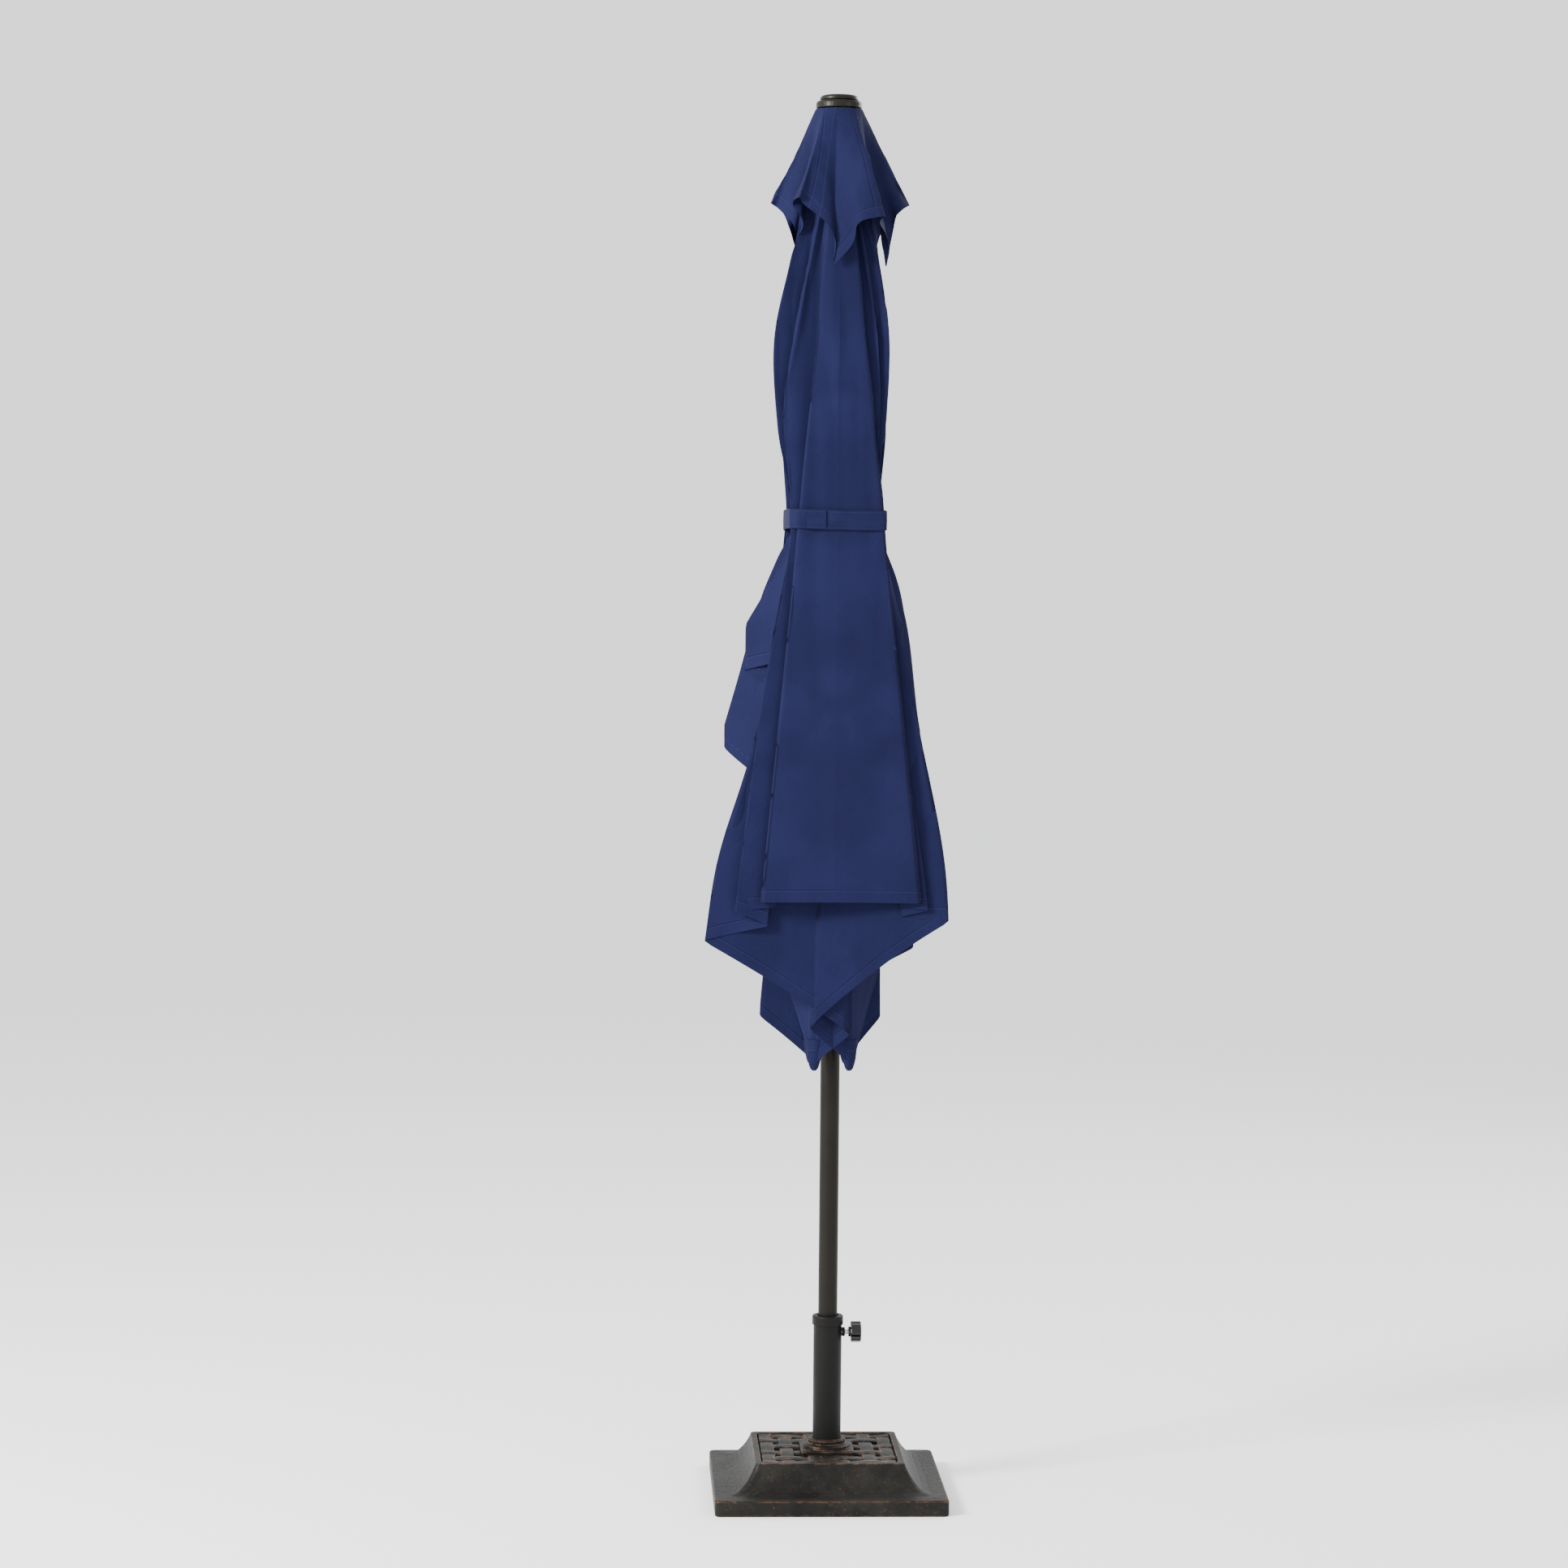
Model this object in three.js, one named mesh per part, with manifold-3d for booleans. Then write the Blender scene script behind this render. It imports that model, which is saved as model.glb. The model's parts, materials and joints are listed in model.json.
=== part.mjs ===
// Closed market umbrella on a square cast base. Millimetres, +Z up, front of the umbrella towards -Y.
import * as THREE from 'three';
import { mergeVertices } from 'three/addons/utils/BufferGeometryUtils.js';
import Module from 'manifold-3d';

const wasm = await Module();
wasm.setup();

const GAP = 0.3;

// Base casting
const BASE_HALF = 202.5;
const SLAB_TOP = 28;
const DECK_HALF = 128;
const DECK_RIM_TOP = 77;
const DECK_FLOOR = 70;
const WEAVE_TOP = 75;
const WEAVE_PITCH = 54;
const WEAVE_STRAP = 27;
const BASE_CORNER_RADIUS = 9;
const BOSS_RADIUS = 31;
const COVER_BOTTOM = 5;
const COVER_TOP = 8.5;

// Stem
const STEM_RADIUS = 25;
const STEM_WALL = 2;
const STEM_FOOT = 24;
const STEM_TOP = 310;
const COLLAR_RADIUS = 27.5;
const COLLAR_BOTTOM = 298;
const COLLAR_TOP = 314;
const SLEEVE_BOTTOM = 120;
const SLEEVE_TOP = 262;
const FLANGE_PAD_HALF = 47;
const FLANGE_PAD_TOP = 77;
const FLANGE_TOP = 96;

// Clamp screw, which enters the stem from the right
const CLAMP_Z = 284;
const SCREW_RADIUS = 3.9;
const SCREW_END = 54;
const NUT_END = 30.5;
const NUT_RADIUS = 8;
const KNOB_START = 36.5;
const KNOB_END = 59;
const KNOB_RADIUS = 18.5;
const KNOB_LOBES = 8;
const PAD_LENGTH = 2;

// Pole
const LOWER_POLE_RADIUS = 17;
const UPPER_POLE_RADIUS = 18;
const POLE_WALL = 1.6;
const POLE_FOOT = 62;
const POLE_JOINT = 800;
const POLE_TOP = 2420;
const JOINER_HALF_LENGTH = 70;

// Crank
const CRANK_Z = 1070;
const HOUSING_RADIUS = 24;
const HOUSING_HALF_HEIGHT = 55;
const SPOOL_RADIUS = 14.6;
const HOUSING_FRONT = 36;
const ARM_LENGTH = 85;
const GRIP_END = 88;
const CRANK_AZIMUTH = 1.5 * Math.PI;

// Frame
const PIVOT_RADIUS = 30;
const CARRIER_RADIUS = 23.4;
const PIN_RADIUS = 2;
const HUB_Z = 2385;
const RUNNER_Z = 1234.9;
const RIB_SPLAY = THREE.MathUtils.degToRad(0.9);
const RIB_WIDTH = 10;
const RIB_DEPTH = 12;
const CORNER_RIB = 1617;
const SIDE_RIB = 884;
const STRUT_JOINT = 550;
const STRUT_OFFSET = 12;
const STRUT_LENGTH = 600;
const STRUT_WIDTH = 7;
const STRUT_DEPTH = 8;
const CORNER_AZIMUTH = THREE.MathUtils.degToRad(33.7);

// Finial
const FINIAL_TOP = 2456;
const FINIAL_DISC_BOTTOM = 2432;
const FINIAL_DISC_TOP = 2444.4;
const FINIAL_DISC_RADIUS = 40;

// Fabric
const CLOTH = 1.6;
const STRAP_Z = 1717;
const STRAP_HALF_HEIGHT = 17;

const group = new THREE.Group();
group.name = 'patio_umbrella';

function add(name, geometry, color, metalness, roughness) {
  const material = new THREE.MeshStandardMaterial({ color, metalness, roughness });
  material.name = `${name}_finish`;
  const mesh = new THREE.Mesh(geometry, material);
  mesh.name = name;
  group.add(mesh);
}

const bronze = (name, geometry) => add(name, geometry, 0x3b2f28, 0.6, 0.45);
const cast = (name, geometry) => add(name, geometry, 0x4a3227, 0.5, 0.6);
const steel = (name, geometry) => add(name, geometry, 0xa8a9ab, 0.9, 0.3);
const plastic = (name, geometry) => add(name, geometry, 0x1c1c1e, 0, 0.5);
const fabric = (name, geometry) => add(name, geometry, 0x1f2d4f, 0, 0.9);
const concrete = (name, geometry) => add(name, geometry, 0x8d8a84, 0, 0.95);

function welded(geometry) {
  const bare = geometry.clone();
  bare.deleteAttribute('normal');
  bare.deleteAttribute('uv');
  return mergeVertices(bare, 1e-3);
}

function toSolid(geometry) {
  const merged = welded(geometry);
  const vertProperties = new Float32Array(merged.attributes.position.array);
  const triVerts = new Uint32Array(merged.index.array);
  return new wasm.Manifold(new wasm.Mesh({ numProp: 3, vertProperties, triVerts }));
}

function toGeometry(solid) {
  const mesh = solid.getMesh();
  const geometry = new THREE.BufferGeometry();
  geometry.setAttribute('position', new THREE.BufferAttribute(new Float32Array(mesh.vertProperties), 3));
  geometry.setIndex(new THREE.BufferAttribute(new Uint32Array(mesh.triVerts), 1));
  geometry.computeVertexNormals();
  return geometry;
}

function join(...geometries) {
  return toGeometry(geometries.map(toSolid).reduce((sum, next) => sum.add(next)));
}

function cut(geometry, ...tools) {
  return toGeometry(tools.map(toSolid).reduce((left, tool) => left.subtract(tool), toSolid(geometry)));
}

// Closed loop of [radius, height] pairs turned about +Z
function turned(loop, segments = 40) {
  const points = [...loop, loop[0]].map(([radius, height]) => new THREE.Vector2(radius, height));
  return facingOut(new THREE.LatheGeometry(points, segments).rotateX(Math.PI / 2));
}

function facingOut(geometry) {
  const merged = welded(geometry);
  const position = merged.attributes.position;
  const index = merged.index.array;
  const corner = (i) => new THREE.Vector3().fromBufferAttribute(position, index[i]);
  let volume = 0;
  for (let i = 0; i < index.length; i += 3) {
    volume += corner(i).dot(corner(i + 1).cross(corner(i + 2)));
  }
  if (volume < 0) {
    for (let i = 0; i < index.length; i += 3) {
      [index[i], index[i + 1]] = [index[i + 1], index[i]];
    }
  }
  merged.computeVertexNormals();
  return merged;
}

const tube = (outer, inner, bottom, top, segments) =>
  turned([[inner, bottom], [outer, bottom], [outer, top], [inner, top]], segments);

const rod = (radius, bottom, top, segments) =>
  turned([[0, bottom], [radius, bottom], [radius, top], [0, top]], segments);

// A rod along +X from one x to another, at a height
const rodX = (radius, start, end, height, segments = 24) =>
  rod(radius, start, end, segments).rotateY(Math.PI / 2).translate(0, 0, height);

// A rod along Y from y = -start to y = -end, at a height
const rodFront = (radius, start, end, height, segments = 24) =>
  rod(radius, start, end, segments).rotateX(Math.PI / 2).translate(0, 0, height);

const block = (x0, x1, y0, y1, z0, z1) =>
  new THREE.BoxGeometry(x1 - x0, y1 - y0, z1 - z0).translate((x0 + x1) / 2, (y0 + y1) / 2, (z0 + z1) / 2);

// Outline of a square with rounded corners; a radius equal to the half side gives a circle
function roundedSquare(half, radius, steps = 6) {
  const points = [];
  for (let corner = 0; corner < 4; corner += 1) {
    const middle = Math.PI / 4 + (corner * Math.PI) / 2;
    const centre = half - radius;
    const cx = Math.sign(Math.cos(middle)) * centre;
    const cy = Math.sign(Math.sin(middle)) * centre;
    for (let step = 0; step <= steps; step += 1) {
      const angle = middle - Math.PI / 4 + (step / steps) * (Math.PI / 2);
      points.push([cx + radius * Math.cos(angle), cy + radius * Math.sin(angle)]);
    }
  }
  return points;
}

// Solid made by joining outlines ring to ring; the last ring joins back to the first
function ringLoop(rings) {
  const count = rings[0].length;
  const position = rings.flat(2);
  const index = [];
  rings.forEach((ring, r) => {
    const next = (r + 1) % rings.length;
    for (let i = 0; i < count; i += 1) {
      const j = (i + 1) % count;
      const corners = [r * count + i, r * count + j, next * count + j, next * count + i];
      index.push(corners[0], corners[1], corners[2], corners[0], corners[2], corners[3]);
    }
  });
  const geometry = new THREE.BufferGeometry();
  geometry.setAttribute('position', new THREE.Float32BufferAttribute(position, 3));
  geometry.setIndex(index);
  return facingOut(geometry);
}

const squareLoop = (loop) =>
  ringLoop(loop.map(([half, height, radius]) => roundedSquare(half, radius).map(([x, y]) => [x, y, height])));

function slab(half, radius, bottom, top) {
  const shape = new THREE.Shape(roundedSquare(half, radius).map(([x, y]) => new THREE.Vector2(x, y)));
  const solid = new THREE.ExtrudeGeometry(shape, { depth: top - bottom, bevelEnabled: false });
  return solid.translate(0, 0, bottom);
}

// Half sides and heights of the sloped skin from the slab up to the deck rim
const SLOPE = [[173, 29.5], [162, 33], [152.5, 40], [144, 50], [137, 61], [132, 71]];
const SHELL_WALL = 8;

function baseCasting() {
  const corner = BASE_CORNER_RADIUS;
  const outside = [
    [BASE_HALF - 1.5, 0, corner],
    [BASE_HALF, 2, corner],
    [BASE_HALF, SLAB_TOP - 2, corner],
    [BASE_HALF - 2, SLAB_TOP, corner],
    ...SLOPE.map(([half, height]) => [half, height, corner]),
    [DECK_HALF + 2, DECK_RIM_TOP, corner],
    [DECK_HALF - 8, DECK_RIM_TOP, corner],
    [DECK_HALF - 10, DECK_FLOOR, corner],
    [STEM_RADIUS + GAP, DECK_FLOOR, STEM_RADIUS + GAP],
    [STEM_RADIUS + GAP, STEM_FOOT - 4, STEM_RADIUS + GAP],
    [BOSS_RADIUS, STEM_FOOT - 4, BOSS_RADIUS],
  ];
  return squareLoop([...outside, ...innerSkin(0), [BASE_HALF - 7, 0, corner]]);
}

function innerSkin(inset) {
  const ceiling = DECK_FLOOR - SHELL_WALL - inset;
  const corner = BASE_CORNER_RADIUS;
  const slope = SLOPE.slice(0, 4).reverse();
  return [
    [BOSS_RADIUS + inset, ceiling, BOSS_RADIUS + inset],
    [120 - inset, ceiling, corner],
    ...slope.map(([half, height]) => [half - SHELL_WALL - inset, height - SHELL_WALL - inset, corner]),
    [BASE_HALF - 7 - inset, SLAB_TOP - SHELL_WALL - inset, corner],
  ];
}

// Openwork panel of crossing straps that lies in the deck, around the flange pad
function deckWeave() {
  const half = DECK_HALF - 10 - GAP - 0.5;
  const bottom = DECK_FLOOR + GAP;
  const middle = FLANGE_PAD_HALF + 1;
  const hole = (WEAVE_PITCH - WEAVE_STRAP) / 2;
  const tools = [block(-middle, middle, -middle, middle, bottom - 1, WEAVE_TOP + 1)];
  for (const column of [-2, -1, 0, 1, 2]) {
    for (const row of [-2, -1, 0, 1, 2]) {
      const x = column * WEAVE_PITCH * 0.88;
      const y = row * WEAVE_PITCH * 0.88;
      if (Math.max(Math.abs(x), Math.abs(y)) > middle + hole) {
        tools.push(block(x - hole, x + hole, y - hole, y + hole, bottom - 1, WEAVE_TOP + 1));
      }
    }
  }
  return cut(slab(half, BASE_CORNER_RADIUS - 3, bottom, WEAVE_TOP), ...tools);
}

function ballastCore() {
  const inset = 0.6;
  const bottom = COVER_TOP + GAP;
  return squareLoop([
    [BOSS_RADIUS + inset, bottom, BOSS_RADIUS + inset],
    ...innerSkin(inset),
    [BASE_HALF - 7 - inset, bottom, BASE_CORNER_RADIUS],
  ]);
}

function stemFlange() {
  const bore = STEM_RADIUS + GAP;
  const bottom = DECK_FLOOR + GAP;
  const pad = squareLoop([
    [bore, bottom, bore],
    [FLANGE_PAD_HALF, bottom, 5],
    [FLANGE_PAD_HALF, FLANGE_PAD_TOP + 1, 5],
    [FLANGE_PAD_HALF - 2, FLANGE_PAD_TOP + 3, 5],
    [bore, FLANGE_PAD_TOP + 3, bore],
  ]);
  const steps = turned([
    [bore, FLANGE_PAD_TOP],
    [42, FLANGE_PAD_TOP],
    [42, FLANGE_PAD_TOP + 7],
    [39, FLANGE_PAD_TOP + 9],
    [33, FLANGE_PAD_TOP + 10],
    [33, FLANGE_TOP - 3],
    [30, FLANGE_TOP],
    [bore, FLANGE_TOP],
  ], 40);
  return cut(join(pad, steps), rod(bore, bottom - 1, FLANGE_TOP + 1, 28));
}

function stemTube() {
  const body = tube(STEM_RADIUS, STEM_RADIUS - STEM_WALL, STEM_FOOT, STEM_TOP, 40);
  return cut(body, rodX(SCREW_RADIUS + GAP + 0.2, 10, 40, CLAMP_Z));
}

function stemCollar() {
  const bore = STEM_RADIUS + GAP;
  const lip = UPPER_POLE_RADIUS + 1.2;
  return turned([
    [bore, COLLAR_BOTTOM],
    [COLLAR_RADIUS, COLLAR_BOTTOM],
    [COLLAR_RADIUS, COLLAR_TOP - 2],
    [COLLAR_RADIUS - 1.5, COLLAR_TOP],
    [lip, COLLAR_TOP],
    [lip, STEM_TOP + GAP],
    [bore, STEM_TOP + GAP],
  ], 40);
}

function clampKnob() {
  const shape = new THREE.Shape();
  const steps = KNOB_LOBES * 8;
  for (let i = 0; i < steps; i += 1) {
    const angle = (i / steps) * 2 * Math.PI;
    const radius = KNOB_RADIUS - 1.7 * (1 - Math.cos(KNOB_LOBES * angle)) / 2;
    const point = [radius * Math.cos(angle), radius * Math.sin(angle)];
    if (i === 0) {
      shape.moveTo(...point);
    } else {
      shape.lineTo(...point);
    }
  }
  shape.closePath();
  const bevel = { bevelEnabled: true, bevelThickness: 1.5, bevelSize: 1.5, bevelOffset: -1.5, bevelSegments: 2 };
  const head = new THREE.ExtrudeGeometry(shape, { depth: KNOB_END - KNOB_START - 7, ...bevel });
  head.rotateY(Math.PI / 2).translate(KNOB_START + 5.5, 0, CLAMP_Z);
  const neck = rodX(9, KNOB_START, KNOB_START + 8, CLAMP_Z);
  const bore = rodX(SCREW_RADIUS + GAP, KNOB_START - 1, SCREW_END + GAP, CLAMP_Z);
  return cut(join(head, neck), bore);
}

function crankHousing() {
  const body = rod(HOUSING_RADIUS, CRANK_Z - HOUSING_HALF_HEIGHT, CRANK_Z + HOUSING_HALF_HEIGHT, 32);
  const drum = rodFront(SPOOL_RADIUS + 2, 0, HOUSING_FRONT, CRANK_Z, 32);
  const shaft = rod(UPPER_POLE_RADIUS + GAP, CRANK_Z - 99, CRANK_Z + 99, 40);
  const chamber = rodFront(SPOOL_RADIUS + 0.4, 0, HOUSING_FRONT - 2.5, CRANK_Z, 32);
  const spindle = rodFront(4.4, 0, HOUSING_FRONT + 5, CRANK_Z);
  return cut(join(body, drum), shaft, chamber, spindle);
}

function crankSpool() {
  const back = 19;
  const flangeA = rodFront(SPOOL_RADIUS, back, back + 2, CRANK_Z);
  const core = rodFront(10, back + 1, HOUSING_FRONT - 4, CRANK_Z);
  const flangeB = rodFront(SPOOL_RADIUS, HOUSING_FRONT - 5, HOUSING_FRONT - 3, CRANK_Z);
  const axle = rodFront(4, HOUSING_FRONT - 4, HOUSING_FRONT + 1, CRANK_Z);
  return join(flangeA, core, flangeB, axle);
}

function crankArm() {
  const front = HOUSING_FRONT + 1 + GAP;
  const bar = block(-6, 6, -(front + 5), -front, CRANK_Z - ARM_LENGTH, CRANK_Z);
  const top = rodFront(8, front, front + 5, CRANK_Z);
  const foot = rodFront(8, front, front + 5, CRANK_Z - ARM_LENGTH);
  return join(bar, top, foot);
}

// Six rib positions: azimuth measured from -Y towards -X, with the rib length
const RIBS = [
  ['front_left', CORNER_AZIMUTH, CORNER_RIB],
  ['side_left', Math.PI / 2, SIDE_RIB],
  ['back_left', Math.PI - CORNER_AZIMUTH, CORNER_RIB],
  ['back_right', Math.PI + CORNER_AZIMUTH, CORNER_RIB],
  ['side_right', (3 * Math.PI) / 2, SIDE_RIB],
  ['front_right', 2 * Math.PI - CORNER_AZIMUTH, CORNER_RIB],
];

// Turns a piece drawn with its outward side towards -Y to the rib's azimuth
const toAzimuth = (geometry, azimuth) => geometry.rotateZ(-azimuth);

function carrier(bottom, top, level, pinned) {
  const bore = UPPER_POLE_RADIUS + GAP + 0.1;
  let body = tube(CARRIER_RADIUS, bore, bottom, top, 32);
  for (const [, azimuth] of RIBS) {
    for (const side of [-1, 1]) {
      const near = side * (RIB_WIDTH / 2 + GAP);
      const far = side * (RIB_WIDTH / 2 + GAP + 1.6);
      const lug = block(Math.min(near, far), Math.max(near, far), -(PIVOT_RADIUS + 5), -22, level - 7, level + 7);
      body = join(body, toAzimuth(lug, azimuth));
    }
    if (pinned) {
      const reach = RIB_WIDTH / 2 + GAP + 1;
      const pin = rodX(PIN_RADIUS, -reach, reach, level, 16).translate(0, -PIVOT_RADIUS, 0);
      body = join(body, toAzimuth(pin, azimuth));
    }
  }
  return cut(body, rod(bore, bottom - 1, top + 1, 32));
}

const pinHole = (level) => rodX(PIN_RADIUS + GAP, -RIB_WIDTH, RIB_WIDTH, level, 16);

function ribGeometry(length, azimuth) {
  const half = RIB_DEPTH / 2;
  const bar = block(-RIB_WIDTH / 2, RIB_WIDTH / 2, -half, half, -length, 2);
  const tip = block(-RIB_WIDTH / 2 + 1, RIB_WIDTH / 2 - 1, -half + 1, half - 1, -length - 8, -length + 2);
  const lugs = [-1, 1].map((side) => {
    const near = side * (STRUT_WIDTH / 2 + GAP);
    const far = side * (RIB_WIDTH / 2);
    const top = STRUT_OFFSET + 4;
    return block(Math.min(near, far), Math.max(near, far), half - 1, top, -STRUT_JOINT - 8, -STRUT_JOINT + 8);
  });
  const reach = RIB_WIDTH / 2 - GAP;
  const pin = rodX(PIN_RADIUS, -reach, reach, -STRUT_JOINT, 16).translate(0, STRUT_OFFSET, 0);
  const rib = cut(join(bar, tip, ...lugs, pin), pinHole(0));
  rib.rotateX(-RIB_SPLAY).translate(0, -PIVOT_RADIUS, HUB_Z);
  return toAzimuth(rib, azimuth);
}

function strutGeometry(azimuth) {
  const joint = new THREE.Vector2(
    PIVOT_RADIUS + STRUT_JOINT * Math.sin(RIB_SPLAY) - STRUT_OFFSET * Math.cos(RIB_SPLAY),
    HUB_Z - STRUT_JOINT * Math.cos(RIB_SPLAY) - STRUT_OFFSET * Math.sin(RIB_SPLAY),
  );
  const lean = Math.atan2(joint.x - PIVOT_RADIUS, joint.y - RUNNER_Z);
  const width = STRUT_WIDTH / 2;
  const bar = block(-width, width, -STRUT_DEPTH / 2, STRUT_DEPTH / 2, -4, STRUT_LENGTH + 4);
  const strut = cut(bar, pinHole(0), pinHole(STRUT_LENGTH));
  strut.rotateX(lean).translate(0, -PIVOT_RADIUS, RUNNER_Z);
  return toAzimuth(strut, azimuth);
}

function finialBase() {
  const stub = UPPER_POLE_RADIUS - POLE_WALL - GAP;
  return turned([
    [0, POLE_TOP - 25],
    [stub, POLE_TOP - 25],
    [stub, POLE_TOP + GAP],
    [29, POLE_TOP + GAP],
    [29, FINIAL_DISC_BOTTOM],
    [FINIAL_DISC_RADIUS - 1, FINIAL_DISC_BOTTOM],
    [FINIAL_DISC_RADIUS, FINIAL_DISC_BOTTOM + 1],
    [FINIAL_DISC_RADIUS, FINIAL_DISC_TOP - 4],
    [FINIAL_DISC_RADIUS - 1.2, FINIAL_DISC_TOP - 1.2],
    [FINIAL_DISC_RADIUS - 4, FINIAL_DISC_TOP],
    [0, FINIAL_DISC_TOP],
  ], 40);
}

function finialCap() {
  const foot = FINIAL_DISC_TOP + GAP;
  return turned([
    [0, foot],
    [32, foot],
    [33.5, foot + 2.5],
    [33, foot + 6],
    [31, foot + 8.5],
    [27, foot + 10],
    [12, FINIAL_TOP - 0.3],
    [0, FINIAL_TOP],
  ], 40);
}

function ventCap() {
  const top = FINIAL_DISC_BOTTOM - 2;
  const shell = turned([
    [35, top],
    [38, top],
    [70, 2362],
    [116, 2255],
    [112, 2253],
    [66, 2358],
  ], 24);
  return shell.scale(1, 0.86, 1);
}

// Length along a rib is measured down from the hub pivots
const at = (distance) => HUB_Z - distance;

// Upright sheet given by its two edges at several distances, with its own thickness
function blade(stations) {
  const rings = stations.map(([[ax, ay, as], [bx, by, bs]]) => {
    const along = new THREE.Vector2(bx - ax, by - ay).normalize();
    const out = new THREE.Vector2(along.y, -along.x).multiplyScalar(CLOTH / 2);
    return [
      [ax + out.x, ay + out.y, at(as)],
      [bx + out.x, by + out.y, at(bs)],
      [bx - out.x, by - out.y, at(bs)],
      [ax - out.x, ay - out.y, at(as)],
    ];
  });
  return cappedRings(rings);
}

function cappedRings(rings) {
  const count = rings[0].length;
  const index = [];
  for (let r = 0; r < rings.length - 1; r += 1) {
    for (let i = 0; i < count; i += 1) {
      const j = (i + 1) % count;
      const low = (r + 1) * count;
      index.push(r * count + i, r * count + j, low + j, r * count + i, low + j, low + i);
    }
  }
  const last = (rings.length - 1) * count;
  index.push(2, 1, 0, 3, 2, 0, last, last + 1, last + 2, last, last + 2, last + 3);
  const geometry = new THREE.BufferGeometry();
  geometry.setAttribute('position', new THREE.Float32BufferAttribute(rings.flat(2), 3));
  geometry.setIndex(index);
  return facingOut(geometry);
}

const mirrored = (geometry, x, y) => facingOut(geometry.scale(x, y, 1));

// Left half of the flat pleat in the middle of a short side
const shortSidePanel = () => blade([
  [[-58, -51, 140], [-GAP, -51, 140]],
  [[-72, -74, 670], [-GAP, -74, 670]],
  [[-100, -88, 1000], [-GAP, -88, 1000]],
  [[-132, -104, 1345], [-GAP, -104, 1326]],
]);

// Outer layer of the big flap at the front of a long side
const flapOuter = () => blade([
  [[-27, -38, 140], [-78, -4, 140]],
  [[-31, -44, 670], [-78, -12, 670]],
  [[-35, -49, 1000], [-140, 21, 1000]],
  [[-37, -52, 1520], [-205, 60, 1130]],
]);

// Fabric between the side rib and the flap
const flapInner = () => blade([
  [[-49, -4, 140], [-49, -14, 140]],
  [[-57.5, -4, 670], [-57.5, -18, 670]],
  [[-61, -4, 890], [-61, -20, 900]],
]);

const sidePleatOuter = () => blade([
  [[-46, 16, 140], [-46, 30, 140]],
  [[-54, 18, 670], [-54, 52, 670]],
  [[-57, 18, 900], [-57, 66, 960]],
]);

const sidePleatInner = () => blade([
  [[-30, 48, 500], [-46, 46, 500]],
  [[-35, 58, 1000], [-52, 62, 1000]],
  [[-37, 62, 1480], [-58, 84, 1260]],
]);

function strapLoop() {
  const wide = 86;
  const deep = 0.98;
  const ring = (half, height) => roundedSquare(half, half * 0.25).map(([x, y]) => [x, y * deep, height]);
  const low = STRAP_Z - STRAP_HALF_HEIGHT;
  const high = STRAP_Z + STRAP_HALF_HEIGHT;
  return ringLoop([ring(wide, low), ring(wide + CLOTH, low), ring(wide + CLOTH, high), ring(wide, high)]);
}

cast('base_casting', baseCasting());
concrete('ballast_core', ballastCore());
plastic('base_cover', slab(BASE_HALF - 8, BASE_CORNER_RADIUS, COVER_BOTTOM, COVER_TOP));
cast('deck_weave', deckWeave());
cast('stem_flange', stemFlange());
bronze('stem_tube', stemTube());
bronze('stem_collar', stemCollar());
plastic('stem_sleeve', tube(STEM_RADIUS - STEM_WALL - GAP, LOWER_POLE_RADIUS + GAP, SLEEVE_BOTTOM, SLEEVE_TOP));
const nutBlank = rodX(NUT_RADIUS, STEM_RADIUS + GAP, NUT_END, CLAMP_Z);
bronze('clamp_nut', cut(nutBlank, rodX(SCREW_RADIUS + GAP, 10, 40, CLAMP_Z)));
const padStart = LOWER_POLE_RADIUS + GAP;
steel('clamp_pad', rodX(SCREW_RADIUS - 0.6, padStart, padStart + PAD_LENGTH, CLAMP_Z));
steel('clamp_screw', rodX(SCREW_RADIUS, padStart + PAD_LENGTH + GAP, SCREW_END, CLAMP_Z));
plastic('clamp_knob', clampKnob());

bronze('lower_pole', tube(LOWER_POLE_RADIUS, LOWER_POLE_RADIUS - POLE_WALL, POLE_FOOT, POLE_JOINT, 40));
bronze('upper_pole', tube(UPPER_POLE_RADIUS, UPPER_POLE_RADIUS - POLE_WALL, POLE_JOINT + GAP, POLE_TOP, 40));
const joinerRadius = LOWER_POLE_RADIUS - POLE_WALL - GAP;
const joinerEnds = [POLE_JOINT - JOINER_HALF_LENGTH, POLE_JOINT + JOINER_HALF_LENGTH];
steel('pole_joiner', tube(joinerRadius, joinerRadius - 1.5, ...joinerEnds));
plastic('pole_foot_plug', turned([
  [0, POLE_FOOT - 4],
  [LOWER_POLE_RADIUS - 0.5, POLE_FOOT - 4],
  [LOWER_POLE_RADIUS - 0.5, POLE_FOOT - GAP],
  [joinerRadius, POLE_FOOT - GAP],
  [joinerRadius, POLE_FOOT + 14],
  [0, POLE_FOOT + 14],
]));

plastic('crank_housing', toAzimuth(crankHousing(), CRANK_AZIMUTH));
plastic('crank_spool', toAzimuth(crankSpool(), CRANK_AZIMUTH));
bronze('crank_arm', toAzimuth(crankArm(), CRANK_AZIMUTH));
const gripStart = HOUSING_FRONT + 6 + 2 * GAP;
const grip = rodFront(8, gripStart, GRIP_END, CRANK_Z - ARM_LENGTH);
plastic('crank_grip', toAzimuth(grip, CRANK_AZIMUTH));

plastic('top_hub', carrier(HUB_Z - 20, HUB_Z + 14, HUB_Z, true));
plastic('runner', carrier(RUNNER_Z - 52, RUNNER_Z + 12, RUNNER_Z, false));
for (const [place, azimuth, length] of RIBS) {
  bronze(`rib_${place}`, ribGeometry(length, azimuth));
  bronze(`strut_${place}`, strutGeometry(azimuth));
}

bronze('finial_base', finialBase());
bronze('finial_cap', finialCap());

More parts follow.
